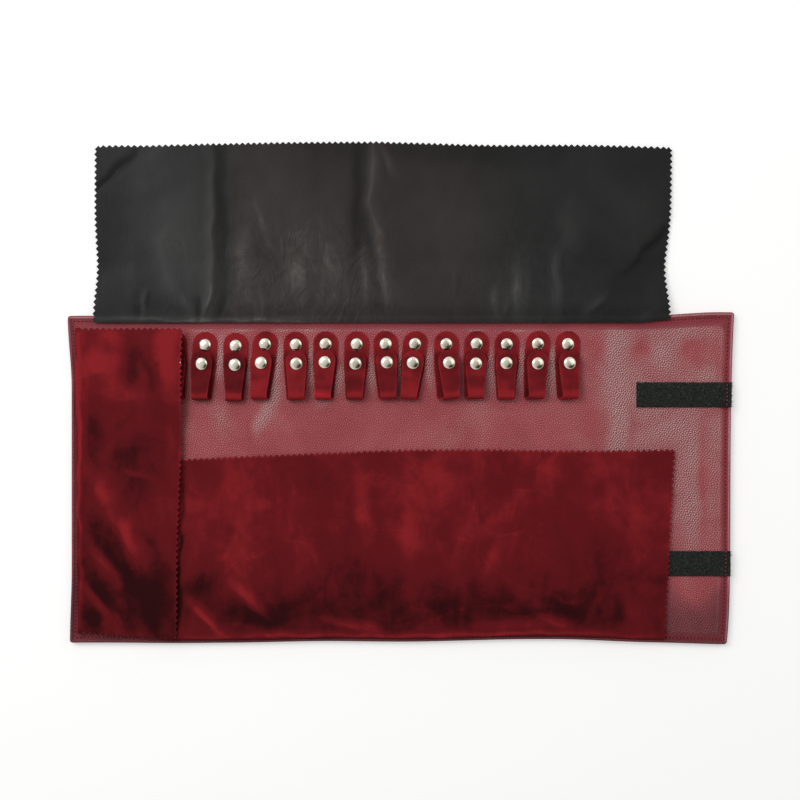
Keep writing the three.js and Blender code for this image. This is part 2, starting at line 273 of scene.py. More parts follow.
def leather_finish():
    finish = Finish("burgundy_leather", Specular_IOR_Level=0.3)
    place = finish.place()

    def pebbles(where):
        """Tops of the grain, 0 in the furrows between them."""
        turned = finish.stretched(where, (1, 1, 1), GRAIN_TURN)
        return finish.cells(
            turned, PEBBLES_PER_METRE, PEBBLE_DISORDER,
            feature="DISTANCE_TO_EDGE", voronoi_dimensions="2D").between(0.0, 0.3)

    tops = pebbles(place)
    # Painted highlight and painted shade on the grain: each pebble lighter on its side towards the key lamp,
    # darker on the far side
    slope = tops - pebbles(finish.node("ShaderNodeMapping", {}, {"Vector": place, "Location": STEP_TO_LIGHT}))
    fine = finish.clouds(place, 1500, 3.0)
    patch = finish.clouds(place, 24, 4.0, 0.8)
    pressed_shade = finish.painted("pressed_band_and_shade")
    rim_light_and_shade = finish.painted("rim_light_and_shade")
    # Painted glare: lighter, hazy zones where the grain would mirror the lamps, and painted shade where the
    # value falls below zero
    glare_and_shade = finish.painted("glare_and_shade") + (patch - 0.5) * 0.85
    painted_sheen = glare_and_shade.between(0.0, 1.1) * (1 - pressed_shade)
    lit = (slope + (fine - 0.5) * 0.6).between(0.08, 0.6)
    unlit = (0 - slope).between(0.08, 0.7)
    smooth_red = finish.blend_colour(patch.between(0.3, 0.7), srgb(173, 70, 78), srgb(187, 89, 95))
    # The grain is darker in its furrows; over it lie painted shade, painted sheen, lit and shaded pebble sides,
    # the pressed band with its painted groove shade, and the rim's painted light and shade
    colour = finish.layered(
        srgb(118, 30, 42),
        (tops * 0.6 + 0.4, smooth_red),
        ((0 - glare_and_shade).between(0.0, 0.9) * 0.9, srgb(100, 36, 46)),
        (painted_sheen * 0.55, srgb(170, 121, 120)),
        (lit * (painted_sheen * 0.62 + 0.12), srgb(236, 198, 194)),
        (unlit * (painted_sheen * 0.6 + 0.2), srgb(76, 18, 30)),
        (pressed_shade * 0.65, srgb(122, 32, 45)),
        (rim_light_and_shade.between(0.0, 1.0) * 0.75, srgb(206, 160, 164)),
        ((0 - rim_light_and_shade).between(0.0, 1.0) * 0.75, srgb(64, 14, 24)))
    return finish.done(colour, 0.6 - painted_sheen * 0.12 + pressed_shade * 0.06, (tops + fine * 0.2, 0.4, 0.0003))


def velvet_finish():
    finish = Finish("red_velvet", Sheen_Weight=0.08, Sheen_Roughness=0.5, Specular_IOR_Level=0.08)
    finish.feed(Sheen_Tint=srgb(220, 50, 52))
    place = finish.place()
    drift = finish.clouds(finish.stretched(place, (1.0, 0.7, 1.0), 0.35), 21, 5.0, 1.6, 0.6)
    brushed = finish.clouds(finish.stretched(place, (1.0, 0.3, 1.0), -0.15), 55, 4.0, 0.8)
    bruise = finish.clouds(finish.stretched(place, (0.5, 1.0, 1.0), 0.4), 13, 1.5, 0.3)
    creased = bruise.near(0.5, 0.012) * drift.between(0.45, 0.62)
    crushed = finish.clouds(place, 95, 5.0, 0.6, 0.62)
    # The kept value holds the velvet's nap together with painted highlights and painted shade, such as fold
    # highlights and the shadow beside the left flap
    nap_light_and_shade = finish.painted("nap_light_and_shade") + (drift - 0.5) * 1.4 + (brushed - 0.5) * 0.65 + creased * 0.2
    nap_light_and_shade = nap_light_and_shade + (crushed - 0.5) * 0.7 + 0.07
    pile = finish.clouds(place, 3800, 2.0)
    # The lightest red shows only where the kept value is high: a painted highlight on folds
    colour = finish.layered(
        srgb(46, 10, 13),
        (nap_light_and_shade.between(-1.0, 0.0), srgb(108, 24, 30)),
        (nap_light_and_shade.between(-0.05, 0.9), srgb(152, 37, 43)),
        (nap_light_and_shade.between(1.0, 2.0) * 0.8, srgb(194, 42, 50)),
        (pile.between(0.35, 0.75) * 0.2, srgb(60, 8, 12)))
    return finish.done(colour, 0.86 + (pile - 0.5) * 0.2, (pile * 0.6 + nap_light_and_shade * 0.3, 0.3, 0.0004))


def satin_finish():
    finish = Finish("black_satin", Specular_IOR_Level=0.18)
    place = finish.place()
    threads = finish.clouds(finish.stretched(place, (1.0, 0.05, 1.0)), 1500, 2.0)
    weave = finish.clouds(place, 1500, 3.0)
    drift = finish.clouds(finish.stretched(place, (1.0, 0.6, 1.0), 0.1), 14, 4.0, 0.9)
    gather = finish.clouds(finish.stretched(place, (1.0, 0.5, 1.0), 0.06), 52, 3.0, 1.1)
    facets = finish.clouds(finish.stretched(place, (1.0, 0.7, 1.0), -0.2), 85, 3.0, 1.4)
    crumple = finish.painted("crumple")
    fold = gather.near(0.5, 0.12) * crumple
    # Painted sheen and painted shade of the satin: the kept strokes, drifting patches, gathers and facets where
    # it is crumpled
    shine = finish.painted("nap_light_and_shade") * 1.3 + (drift - 0.5) * 1.2 + fold * 0.2 + (weave - 0.5) * 0.8
    shine = shine + (facets - 0.5) * crumple * 1.1
    warm = finish.painted("warm")
    dark = finish.blend_colour(warm, srgb(15, 16, 16), srgb(19, 16, 16))
    light = finish.blend_colour(warm, srgb(50, 51, 50), srgb(58, 52, 50))
    colour = finish.layered(
        dark, (shine.between(-0.8, 0.9), light), (shine.between(0.6, 1.7), srgb(96, 91, 86)))
    roughness = 0.55 + (threads - 0.5) * 0.2 - shine.between(0, 1) * 0.1
    return finish.done(colour, roughness, (fold * 1.3 + threads * 0.25, 0.3, 0.0006))


def tape_finish():
    finish = Finish("black_loop_tape", Sheen_Weight=0.1, Specular_IOR_Level=0.2)
    place = finish.place()
    fuzz = finish.clouds(place, 760, 5.0, 1.2, 0.75)
    loops = finish.cells(place, 1100)
    colour = finish.blend_colour(fuzz.between(0.4, 0.68), srgb(1, 2, 2), srgb(63, 68, 63))
    return finish.done(colour, 0.95 - loops * 0.1, (fuzz + loops * 0.5, 0.9, 0.0008))


def hook_finish():
    finish = Finish("black_hook_tape", Specular_IOR_Level=0.35)
    place = finish.place()
    hooks = finish.cells(place, 900)
    colour = finish.blend_colour(hooks.between(0.1, 0.5), srgb(40, 42, 41), srgb(16, 18, 17))
    return finish.done(colour, 0.55 + hooks * 0.3, (1 - hooks, 0.9, 0.0008))


def nickel_finish():
    finish = Finish("polished_nickel", Metallic=1.0)
    place = finish.place()
    scuffs = finish.clouds(finish.stretched(place, (1.0, 0.2, 1.0), 0.7), 1600, 4.0)
    tarnish = finish.clouds(place, 240, 3.0).between(0.4, 0.8)
    colour = finish.blend_colour(tarnish * 0.5, srgb(218, 212, 197), srgb(196, 184, 162))
    return finish.done(colour, 0.1 + scuffs * 0.1, (scuffs, 0.05, 0.0002))


def thread_finish(name, specular, scale, dark, light, roughness):
    finish = Finish(name, Specular_IOR_Level=specular)
    twist = finish.clouds(finish.place(), scale, 2.0)
    colour = finish.blend_colour(twist.between(0.3, 0.7), dark, light)
    return finish.done(colour, roughness + twist * 0.2)


LEATHER = leather_finish()
VELVET = velvet_finish()
SATIN = satin_finish()
LOOP_TAPE = tape_finish()
HOOK_TAPE = hook_finish()
NICKEL = nickel_finish()
THREAD = thread_finish("dark_red_thread", 0.3, 2600, srgb(126, 38, 50), srgb(176, 74, 84), 0.6)
# Dark discs between the stitches, the painted shade inside the needle holes
NEEDLE_HOLE_SHADE = thread_finish("needle_hole_shade", 0.1, 1800, srgb(36, 5, 12), srgb(72, 14, 24), 0.8)


# Building blocks


def in_scene(name, data):
    thing = bpy.data.objects.new(name, data)
    bpy.context.scene.collection.objects.link(thing)
    return thing


def from_shape(name, shape, *materials):
    mesh = bpy.data.meshes.new(name)
    shape.to_mesh(mesh)
    shape.free()
    for material in materials:
        mesh.materials.append(material)
    return in_scene(name, mesh)


def finished(name, shape, slot, *materials):
    """A bmesh in millimetres becomes a piece of the object."""
    bmesh.ops.scale(shape, vec=(MM, MM, MM), verts=shape.verts)
    piece = from_shape(name, shape, *materials)
    piece.data.shade_smooth()
    return piece


def cloth_grid(columns, rows, shape_at, paint, under_at=None, parted=()):
    """A grid with one vertex per column and row. shape_at places each, paint keeps named values on
    it, under_at places a second layer that closes it to a pad, and parted are columns it is cut after."""
    shape = bmesh.new()
    across, along = len(columns) - 1, len(rows) - 1
    bmesh.ops.create_grid(shape, x_segments=across, y_segments=along, size=0.5)
    cut = [f for f in shape.faces if math.floor((f.calc_center_median().x + 0.5) * across) in parted]
    bmesh.ops.delete(shape, geom=cut, context="FACES")
    if under_at:
        made = bmesh.ops.extrude_face_region(shape, geom=shape.faces[:])["geom"]
        under = [v for v in made if isinstance(v, bmesh.types.BMVert)]
        bmesh.ops.translate(shape, vec=(0, 0, -1), verts=under)
    layers = {name: shape.verts.layers.float.new(name) for name in paint}
    for vert in shape.verts:
        i = round((vert.co.x + 0.5) * across)
        j = round((vert.co.y + 0.5) * along)
        place_at = under_at if vert.co.z < -0.5 else shape_at
        vert.co = place_at(columns[i], rows[j], i, j)
        for name, layer in layers.items():
            vert[layer] = paint[name](columns[i], rows[j], i, j)
    if under_at:
        bmesh.ops.recalc_face_normals(shape, faces=shape.faces)
    for edge in shape.edges:
        edge.smooth = not edge.is_boundary
    return shape


def steps(low, high, size, parts=1):
    """Evenly spaced places, each step of about this size cut into so many parts."""
    count = parts * max(1, round((high - low) / size))
    return [mix(low, high, n / count) for n in range(count + 1)]


def revolved(profile, sides=28):
    """A closed turned shape from points given as radius and height."""
    shape = bmesh.new()
    verts = [shape.verts.new((radius, 0, height)) for radius, height in profile]
    edges = [shape.edges.new(pair) for pair in zip(verts, verts[1:])]
    bmesh.ops.spin(
        shape, geom=verts + edges, cent=(0, 0, 0), axis=(0, 0, 1), dvec=(0, 0, 0),
        angle=math.tau, steps=sides, use_merge=True, use_duplicate=False)
    bmesh.ops.remove_doubles(shape, verts=shape.verts, dist=0.0005)
    bmesh.ops.recalc_face_normals(shape, faces=shape.faces)
    return shape


def gathered(parts):
    """Several shapes as one."""
    whole = bmesh.new()
    for part in parts:
        mesh = bpy.data.meshes.new("part")
        part.to_mesh(mesh)
        part.free()
        whole.from_mesh(mesh)
        bpy.data.meshes.remove(mesh)
    return whole


def thicken(piece, thickness, group=""):
    sheet = piece.modifiers.new("thickness", "SOLIDIFY")
    sheet.thickness = thickness * MM
    sheet.offset = -1.0
    sheet.use_even_offset = False
    sheet.vertex_group = group
    return sheet


# Panel

# Strokes of this table and the like: start X and Y, end X and Y, width, strength
LINING_CREASES = [
    (-107, -8, -118, -32, 5, 0.5), (-121, -20, -121, -40, 3, -0.4), (-99, 6, -107, -10, 4, 0.4),
    (-150, -30, -142, -60, 6, -0.3), (-60, -10, -48, -46, 5, -0.35), (18, -12, 12, -46, 5, 0.4),
    (170, 50, 170, 24, 6, 0.5), (160, 15, 182, -5, 7, 0.4), (174, -7, 175, -44, 6, 0.5),
    (183, 10, 183, -44, 4, -0.4), (192, 42, 188, 32, 6, -0.4), (204, 42, 216, 18, 9, 0.4),
    (229, 42, 231, 32, 7, -0.4), (240, 18, 252, 10, 7, 0.35), (242, -18, 242, -118, 5, -0.35),
    (228, -150, 238, -186, 8, 0.4), (150, -8, 152, -44, 7, -0.3), (70, -8, 84, -46, 7, 0.35),
]
# Painted glare on the lining, in strokes: positive ones are painted highlight, negative ones painted shade
LINING_GLARE_AND_SHADE = [
    (170, 50, 170, 24, 7, 0.5), (160, 15, 182, -5, 8, 0.4), (174, -7, 175, -44, 7, 0.5),
    (183, 10, 183, -44, 4, -0.4), (192, 42, 188, 32, 7, -0.4), (202, 42, 216, 18, 11, 0.45),
    (229, 42, 231, 32, 8, -0.45), (238, 19, 252, 10, 8, 0.4), (195, -12, 252, -50, 24, 0.5),
    (242, -18, 242, -120, 4, -0.4), (228, -60, 236, -118, 16, 0.45), (222, -136, 240, -170, 9, 0.4),
    (150, 48, 160, 20, 12, -0.3), (146, 10, 154, -40, 12, -0.3), (205, 50, 250, 48, 14, 0.4),
    (-145, 45, -146, 12, 3.5, 0.8), (-122, 28, -123, 10, 3.5, 0.9), (-99, 43, -103, 6, 4, 0.9),
    (-73, 36, -73, 10, 3.5, 0.8), (-49, 22, -53, 4, 4, 0.8), (-25, 28, -26, 6, 3.5, 0.7),
    (-2, 36, -3, 6, 3.5, 0.7), (22, 36, 22, 6, 3.5, 0.7), (71, 36, 70, 6, 3.5, 0.7),
    (95, 36, 95, 6, 3.5, 0.7), (120, 36, 119, 4, 4, 0.8), (-107, -8, -118, -32, 6, 0.5),
    (-121, -20, -121, -40, 2.5, -0.5), (-99, 6, -107, -10, 5, 0.7), (-73, -10, -56, -5, 6, 0.4),
    (-150, -10, -138, -30, 9, 0.3), (-175, 53, 20, 53, 2.2, 0.7), (20, 53, 150, 53, 2.2, 0.6),
    (60, -14, 30, -44, 14, 0.25), (110, -30, 80, -40, 16, -0.3),
]
PANEL_GRID = 2.4
COVER_GLARE = 0.1
SHARP_ANGLE = math.radians(60)
EDGE_ROWS = [0, 0.25, 0.7, 1.2, 1.7, 2.2, 2.7, 3.2, 3.8, 4.6, 5.6, 6.6, 7.6, 8.4, 9.0, 9.6, 10.4, 11.6]


def panel_lines(low, high, low_edge, high_edge):
    """Grid lines over the panel, close together where an edge is turned and stitched."""
    start = [low + d for d in EDGE_ROWS] if low_edge else [low]
    end = [high - d for d in reversed(EDGE_ROWS)] if high_edge else [high]
    return start + steps(start[-1], end[0], PANEL_GRID)[1:-1] + end


def edge_distance(x, y):
    return min(x - LEFT, RIGHT - x, y - BOTTOM, TOP - y)


def bottom_bow(x):
    """How far the panel's bottom edge bows inwards along its length."""
    return 3.3 * hill(x, 108, 68) + 1.6 * hill(x, -48, 50)


def panel_outline(x, y):
    """Moves a point of the plain rectangle to where the soft panel has it."""
    to_end = max(0.0, abs(x) - RIGHT + CORNER) / CORNER
    middle = (TOP + BOTTOM) / 2
    to_side = max(0.0, abs(y - middle) - (TOP - BOTTOM) / 2 + CORNER) / CORNER
    pull = max(to_end, to_side) / math.hypot(to_end, to_side) if to_end and to_side else 1.0
    px = math.copysign(abs(x) - to_end * CORNER * (1 - pull), x)
    py = middle + math.copysign(abs(y - middle) - to_side * CORNER * (1 - pull), y - middle)
    drop = (TOP - y) / (TOP - BOTTOM)
    left_bow = 1.1 - 3.2 * smooth(0.22, 0, drop) - 1.4 * smooth(0.78, 1, drop)
    px += left_bow * smooth(FOLDS[0], LEFT, x)
    px += (3.2 * (1 - drop) ** 5 - 3.0 * drop ** 10 - 1.1) * smooth(FOLDS[3], RIGHT, x)
    py += 2.8 * smooth(190, 255, x) * smooth(TOP - 60, TOP, y)
    py += (bottom_bow(x) - 1.3 * smooth(200, 262, x)) * smooth(TOP - 150, BOTTOM, y)
    py += 0.6 * ripple(x, 3.0, 70) * smooth(20, 0, edge_distance(x, y))
    return px, py


def lining_height(x, y, distance):
    turn = min(1.0, distance / 2.2)
    rolled = mix((COVER_Z + EDGE_Z) / 2, EDGE_Z, math.sqrt(max(0.0, 1 - (1 - turn) ** 2)))
    field = LINING_Z - 0.25 + 0.28 * ripple(x, y, 34) + 0.2 * smooth(30, 11, distance)
    field += strokes(x, y, LINING_CREASES) * smooth(11, 18, distance)
    sewn = 0.85 * smooth(1.6, 3.0, distance) * smooth(9.0, 6.2, distance)
    sewn += 0.3 * hill(distance, STITCH_LINE, 0.8)
    return mix(rolled, min(field, LINING_Z + 0.35), smooth(4.6, 8.6, distance)) - sewn


def cover_height(x, y, distance):
    turn = min(1.0, distance / 3.2)
    edge = mix((COVER_Z + EDGE_Z) / 2, COVER_Z, math.sqrt(max(0.0, 1 - (1 - turn) ** 2)))
    groove = 0.45 * hill(distance, STITCH_LINE, 0.9)
    return edge + groove + 0.12 * (1 + ripple(x, y, 40, 9.0)) * smooth(8, 20, distance)


def panel_piece(number, low, high):
    """A stretch of the padded panel, from the middle of one section to the middle of the next."""
    columns = panel_lines(low, high, number == 1, number == 4)
    rows = panel_lines(BOTTOM, TOP, True, True)

    def lining(x, y, i, j):
        return (*panel_outline(x, y), lining_height(x, y, edge_distance(x, y)))

    def cover(x, y, i, j):
        return (*panel_outline(x, y), cover_height(x, y, edge_distance(x, y)))

    # Painted glare and painted shade on the leather: lighter towards the right end, darker towards the bottom
    def glare_and_shade(x, y, i, j):
        towards_end = 0.3 * smooth(120, 190, x) - 0.14 * smooth(195, 225, x) + 0.36 * hill(x, 168, 26)
        return 1.3 * strokes(x, y, LINING_GLARE_AND_SHADE) + 0.04 + towards_end - 1.1 * smooth(-115, -185, y)

    # The band pressed flat by the stitches: it is smooth and free of painted glare, and its darker red is
    # partly the pressed leather and partly painted shade of the groove
    def pressed_band_and_shade(x, y, i, j):
        distance = edge_distance(x, y)
        field = mix(8.8, 12.6, smooth(TOP - 16, TOP - 10, y))
        return smooth(field, field - 3.2, distance) * smooth(2.0, 3.0, distance)

    # Painted highlight along the rolled edge and painted shade at its outer side and beside it; the left and
    # bottom edges get little highlight and more painted shade
    def rim_light_and_shade(x, y, i, j):
        distance = edge_distance(x, y)
        light = hill(distance, 1.8, 0.5) + 0.3 * hill(distance, 9.6, 0.9)
        dark = 0.4 * hill(distance, 2.9, 0.5) + smooth(1.3, 0.5, distance)
        if distance in (x - LEFT, y - BOTTOM):
            light, dark = 0.15 * light, dark + 0.55 * smooth(7.0, 3.0, distance)
        return (0.7 + 0.5 * ripple(x, y, 26, 3.0)) * (light - dark)

    shape = cloth_grid(columns, rows, lining, {"glare_and_shade": glare_and_shade, "pressed_band_and_shade": pressed_band_and_shade, "rim_light_and_shade": rim_light_and_shade}, cover)
    shine = shape.verts.layers.float["glare_and_shade"]
    for vert in shape.verts:
        if vert.co.z < (COVER_Z + EDGE_Z) / 2:
            vert[shine] = COVER_GLARE
    for edge in shape.edges:
        if edge.calc_face_angle(0.0) > SHARP_ANGLE:
            edge.smooth = False
    piece = finished(f"panel_leather_{number}", shape, "leather", LEATHER)
    bend_panel(piece, number)
    nodes = [f"{kind}_{n}" for kind in ("outer_cover", "padding", "lining") for n in (number, number + 1)]
    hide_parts(*nodes)


def bend_panel(piece, number):
    """The piece bends with the panel at one fold line."""
    fold = FOLDS[number - 1] * MM
    reach = FOLD_REACH * MM
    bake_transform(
        piece, f"panel_{number}", f"panel_{number + 1}",
        start=(fold - reach, 0, 0), end=(fold + reach, 0, 0))


middles = [(a + b) / 2 for a, b in zip(FOLDS, FOLDS[1:])]
panel_ends = [LEFT, *middles, RIGHT]
for number in range(1, 5):
    panel_piece(number, panel_ends[number - 1], panel_ends[number])


# Edge stitching

STITCH_LENGTH = 1.9
STITCH_WIDTH = 0.8
STITCH_LEAN = 0.12
NEEDLE_HOLE_SIZE = 1.0
LIFT_OVER_TAPE = 2.7
# Stitches are made in small shapes and then gathered, because a large shape is slow to add to
STITCHES_TOGETHER = 8


def stitch(shape, x, y, z, heading, length, width, material=0):
    turn = Matrix.Rotation(heading, 4, "Z")
    size = Matrix.Diagonal((length, width, width * 0.8, 1))
    made = bmesh.ops.create_uvsphere(
        shape, u_segments=6, v_segments=4, radius=0.5, matrix=Matrix.Translation((x, y, z)) @ turn @ size)
    for vert in made["verts"]:
        for face in vert.link_faces:
            face.material_index = material


def tape_lift(x, y):
    """How far a loop tape lifts the stitches that cross it."""
    on_tape = any(low.y < y < high.y for low, high in map(node_box, ("loop_tape_upper", "loop_tape_lower")))
    return LIFT_OVER_TAPE if on_tape and x > FOLDS[3] else 0.0


def edge_stitches(number, low, high):
    """The row of stitches that holds the turned edge, along one stretch of the panel."""
    line = STITCH_LINE
    first = low + line if number == 1 else low + STITCH_PITCH / 2
    last = high - line if number == 4 else high - STITCH_PITCH / 2
    row = [(x, y, 0.0) for y in (BOTTOM + line, TOP - line) for x in steps(first, last, STITCH_PITCH)]
    ends = [LEFT + line] * (number == 1) + [RIGHT - line] * (number == 4)
    sides = steps(BOTTOM + line, TOP - line, STITCH_PITCH)[1:-1]
    row += [(x, y, math.pi / 2) for x in ends for y in sides]
    parts = []
    half = STITCH_PITCH / 2
    for n, (x, y, heading) in enumerate(row):
        if n % STITCHES_TOGETHER == 0:
            shape = bmesh.new()
            parts.append(shape)
        place = panel_outline(x, y)
        front = lining_height(x, y, line) + tape_lift(x, y)
        back = cover_height(x, y, line)
        stitch(shape, *place, front + 0.25, heading + STITCH_LEAN, STITCH_LENGTH, STITCH_WIDTH)
        stitch(shape, *place, back - 0.1, heading - STITCH_LEAN, STITCH_LENGTH - 0.1, STITCH_WIDTH - 0.1)
        hole = panel_outline(x + half * math.cos(heading), y + half * math.sin(heading))
        # A dark disc between stitches: painted shade in the needle hole
        stitch(shape, *hole, front + 0.06, heading, NEEDLE_HOLE_SIZE, NEEDLE_HOLE_SIZE, 1)
    piece = finished(f"edge_stitches_{number}", gathered(parts), "leather", THREAD, NEEDLE_HOLE_SHADE)
    bend_panel(piece, number)


for number in range(1, 5):
    edge_stitches(number, panel_ends[number - 1], panel_ends[number])


# Flaps


def pinked(number, rows_in):
    """How far a tooth pulls a point in from the cut edge, fading over the next rows."""
    root = (1.0, 0.5, 0.0, 0.5)[number % 4]
    return PINK_DEPTH * root * (PINK_FADE[rows_in] if rows_in < len(PINK_FADE) else 0.0)


def even_steps(low, high):
    """Places at a quarter of the pinking pitch, with a root at both ends."""
    return steps(low, high, PINK_PITCH, 4)


def section_columns(low, high, left_neighbour, right_neighbour, tongue):
    """Columns of one flap section, with a thin tongue under each neighbour, and where it is cut."""
    body = even_steps(low, high)
    left = steps(low - tongue, low + 4, 2.4) if left_neighbour else []
    right = steps(high - 4, high + tongue, 2.4) if right_neighbour else []
    parted = [len(left) - 1] * bool(left) + [len(left) + len(body) - 1] * bool(right)
    return left + body + right, len(left), len(left) + len(body), parted


def sheet_weights(piece):
    """Thins the sheet where it is a tongue, from the value that is kept on the mesh."""
    group = piece.vertex_groups.new(name="body")
    for vert, kept in zip(piece.data.vertices, piece.data.attributes["body"].data):
        group.add([vert.index], kept.value, "REPLACE")
    return group.name


def flap_cloth(name, shape, slot, face, back):
    """A flap's cloth with its two faces, thin where it is a tongue under a neighbour."""
    piece = finished(name, shape, slot, face, back)
    sectioned = "body" in piece.data.attributes
    sheet = thicken(piece, FLAP_THICKNESS, sheet_weights(piece) if sectioned else "")
    sheet.material_offset = 1
    return piece


TOP_LEFT = node_box("top_flap_1")[0].x
TOP_RIGHT = node_box("top_flap_5")[1].x
TOP_SEAM = joint_at["top_flap_turn"][1]
TOP_FAR = node_box("top_flap_3")[1].y
SATIN_CREASES = [
    (-243, 160, -211, 192, 3, -1.0), (-151, 64, -150, 196, 3.5, 1.3), (-140, 62, -141, 197, 5, -1.0),
    (-33, 196, -34, 110, 6, -0.9), (-20, 199, -24, 150, 4.5, 1.8), (-25, 152, -15, 109, 4, 1.8),
    (-16, 112, -8, 72, 4, 1.6), (-14, 194, -5, 172, 3.5, 1.0), (-30, 110, -27, 72, 3.5, 1.0),
    (-204, 62, -202, 82, 2.0, 1.2), (-165, 60, -173, 78, 2.2, 0.7), (-158, 60, -150, 84, 2.2, 1.2),
    (77, 60, 75, 84, 2.2, 1.0), (84, 61, 88, 72, 2.2, 0.9), (96, 62, 95, 104, 3.0, 1.2),
    (103, 70, 104, 104, 2.6, 0.8), (126, 62, 126, 112, 3.2, 1.2), (149, 64, 164, 80, 3.0, 1.0),
    (214, 132, 196, 104, 5, -1.3), (196, 104, 176, 92, 5, -0.8), (45, 82, 45, 100, 2.4, 0.6),
    (-116, 150, -104, 118, 3, 0.7), (-122, 128, -128, 88, 7, 0.6), (-88, 110, -82, 80, 7, 0.5),
    (-60, 124, -50, 84, 8, 0.5), (-215, 112, -210, 70, 7, 0.7), (34, 150, 44, 80, 12, 0.5),
    (130, 150, 134, 110, 7, 0.6), (-192, 120, -176, 70, 6, 0.7),
]
# Painted sheen on the top flap's satin, in strokes; negative ones are painted shade
SATIN_SHINE = [
    (-151, 64, -150, 196, 4, 0.4), (-140, 62, -141, 197, 7, -0.55), (-33, 196, -34, 112, 8, -0.45),
    (-20, 199, -24, 150, 5, 0.7), (-25, 152, -15, 109, 5, 0.75), (-16, 112, -8, 72, 5, 0.65),
    (-14, 194, -5, 172, 3, 0.5), (-30, 112, -27, 72, 3.5, 0.6), (-243, 160, -211, 192, 3.5, -0.9),
    (-196, 160, -184, 95, 24, 0.6), (-240, 190, -240, 90, 13, -0.45), (-236, 78, -172, 72, 9, -0.5),
    (-128, 128, -128, 86, 8, 0.45), (-116, 150, -104, 118, 6, 0.4), (-88, 112, -82, 78, 9, 0.4),
    (-60, 124, -50, 84, 10, 0.35), (-96, 150, -60, 90, 26, 0.35), (30, 150, 60, 100, 30, 0.3),
    (96, 62, 95, 104, 5, 0.55), (126, 62, 126, 112, 4, 0.6), (134, 148, 132, 112, 8, 0.4),
    (149, 64, 164, 80, 3, 0.6), (77, 60, 75, 84, 2.5, 0.5), (214, 132, 196, 104, 7, -0.7),
    (196, 104, 168, 84, 12, -0.5), (-60, 194, 120, 192, 14, -0.35), (-243, 59.6, -60, 59, 1.5, 0.8),
    (-204, 62, -202, 84, 2.5, 0.6), (-165, 60, -173, 80, 2.5, 0.5), (-158, 60, -150, 86, 2.5, 0.5),
    (205, 66, 190, 62, 4, 0.3), (180, 180, 190, 110, 24, 0.15), (-161, 61, -163, 76, 2.2, -0.9),
    (-209, 62, -208, 80, 2.6, -0.7), (-146, 62, -140, 78, 2.4, -0.5),
]


def satin_crumple(x, y):
    """Where the satin lies in many small gathers: the lower middle more than the rest."""
    middle = 0.75 * smooth(-160, -120, x) * smooth(10, -30, x)
    right = 0.3 * smooth(60, 90, x) * smooth(150, 120, x)
    return smooth(175, 95, y) * (0.25 + middle + right)


def top_flap_height(x, y):
    drop = smooth(TOP + 1, TOP + 44, y)
    z = mix(EDGE_Z + 0.25, 0.35, drop) + FLAP_THICKNESS
    loose = smooth(TOP_SEAM + 2, TOP_SEAM + 16, y)
    z += drop * (0.5 + 0.55 * ripple(x, y, 46, 2.0)) + 0.35 * loose * ripple(x, y, 17, 4.0)
    z += max(0.0, strokes(x, y, SATIN_CREASES) + 1.2) * mix(0.35, 1.0, loose) - 0.42
    return z + 0.3 * hill(y - TOP_SEAM, 2.6, 1.6)


def top_flap_section(number):
    low = max(SECTION_ENDS[number - 1], TOP_LEFT)
    high = min(SECTION_ENDS[number], TOP_RIGHT)
    columns, start, stop, parted = section_columns(low, high, number > 1, number < 5, TONGUE)
    rows = even_steps(TOP_SEAM, TOP_FAR)

    def spread(x, y, i, j):
        up = (y - TOP_SEAM) / (TOP_FAR - TOP_SEAM)
        drawn_in = hill(up, 0.3, 0.2)
        px = x + (2.4 * drawn_in - 2.5 + 0.8 * up) * smooth(TOP_LEFT + 90, TOP_LEFT, x)
        px += (mix(-1.0, 0.4, up) - 4.4 * drawn_in) * smooth(TOP_RIGHT - 60, TOP_RIGHT, x)
        bow = 4.4 - 4.6 * ((x + 15) / 230) ** 2 - 2.0 * hill(x, 68, 58) + smooth(-195, -240, x)
        py = y + up * bow + 2.2 * (1 - up) ** 8 * smooth(190, 216, x)
        body = start <= i < stop
        if number == 1 and body:
            px += pinked(j, i - start)
        if number == 5 and body:
            px -= pinked(j, stop - 1 - i)
        py -= pinked(i - start if body else 0, len(rows) - 1 - j) + (0.0 if body else 0.3 * up)
        return px, py, top_flap_height(x, y) - (0.0 if body else TONGUE_DROP)

    paint = {
        "nap_light_and_shade": lambda x, y, i, j: strokes(x, y, SATIN_SHINE) - 0.25 * smooth(60, 200, x),
        "crumple": lambda x, y, i, j: satin_crumple(x, y),
        "warm": lambda x, y, i, j: smooth(-170, -110, x) * smooth(120, 20, x),
        "body": lambda x, y, i, j: 1.0 if start <= i < stop else TONGUE_SHARE,
    }
    shape = cloth_grid(columns, rows, spread, paint, None, parted)
    piece = flap_cloth(f"top_flap_cloth_{number}", shape, "satin", SATIN, VELVET)
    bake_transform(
        piece, f"panel_{number}", f"top_flap_{number}",
        start=(0, (TOP_SEAM + 1) * MM, 0), end=(0, (TOP_SEAM + 20) * MM, 0))
    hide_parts(f"top_flap_{number}")


for number in range(1, 6):
    top_flap_section(number)


FOLD_ROOT = 5.0
FOLD_RADIUS = 1.5
FOLD_LOW = EDGE_Z + 0.2


def folded_rows(reach):
    """Places along a flap's cut: under its fold, round it and up to the free edge."""
    turn = FOLD_ROOT + math.pi * FOLD_RADIUS
    return steps(0, FOLD_ROOT, 2.5) + steps(FOLD_ROOT, turn, 0.6)[1:] + [
        turn + s for s in even_steps(0, reach)[1:]]


def folded_place(s):
    """How far in from the fold line and how high a place along the cut lies."""
    turn = FOLD_ROOT + math.pi * FOLD_RADIUS
    if s < FOLD_ROOT:
        return FOLD_ROOT - s, FOLD_LOW
    if s < turn:
        angle = (s - FOLD_ROOT) / FOLD_RADIUS
        return -FOLD_RADIUS * math.sin(angle), FOLD_LOW + FOLD_RADIUS * (1 - math.cos(angle))
    return s - turn, FOLD_LOW + 2 * FOLD_RADIUS


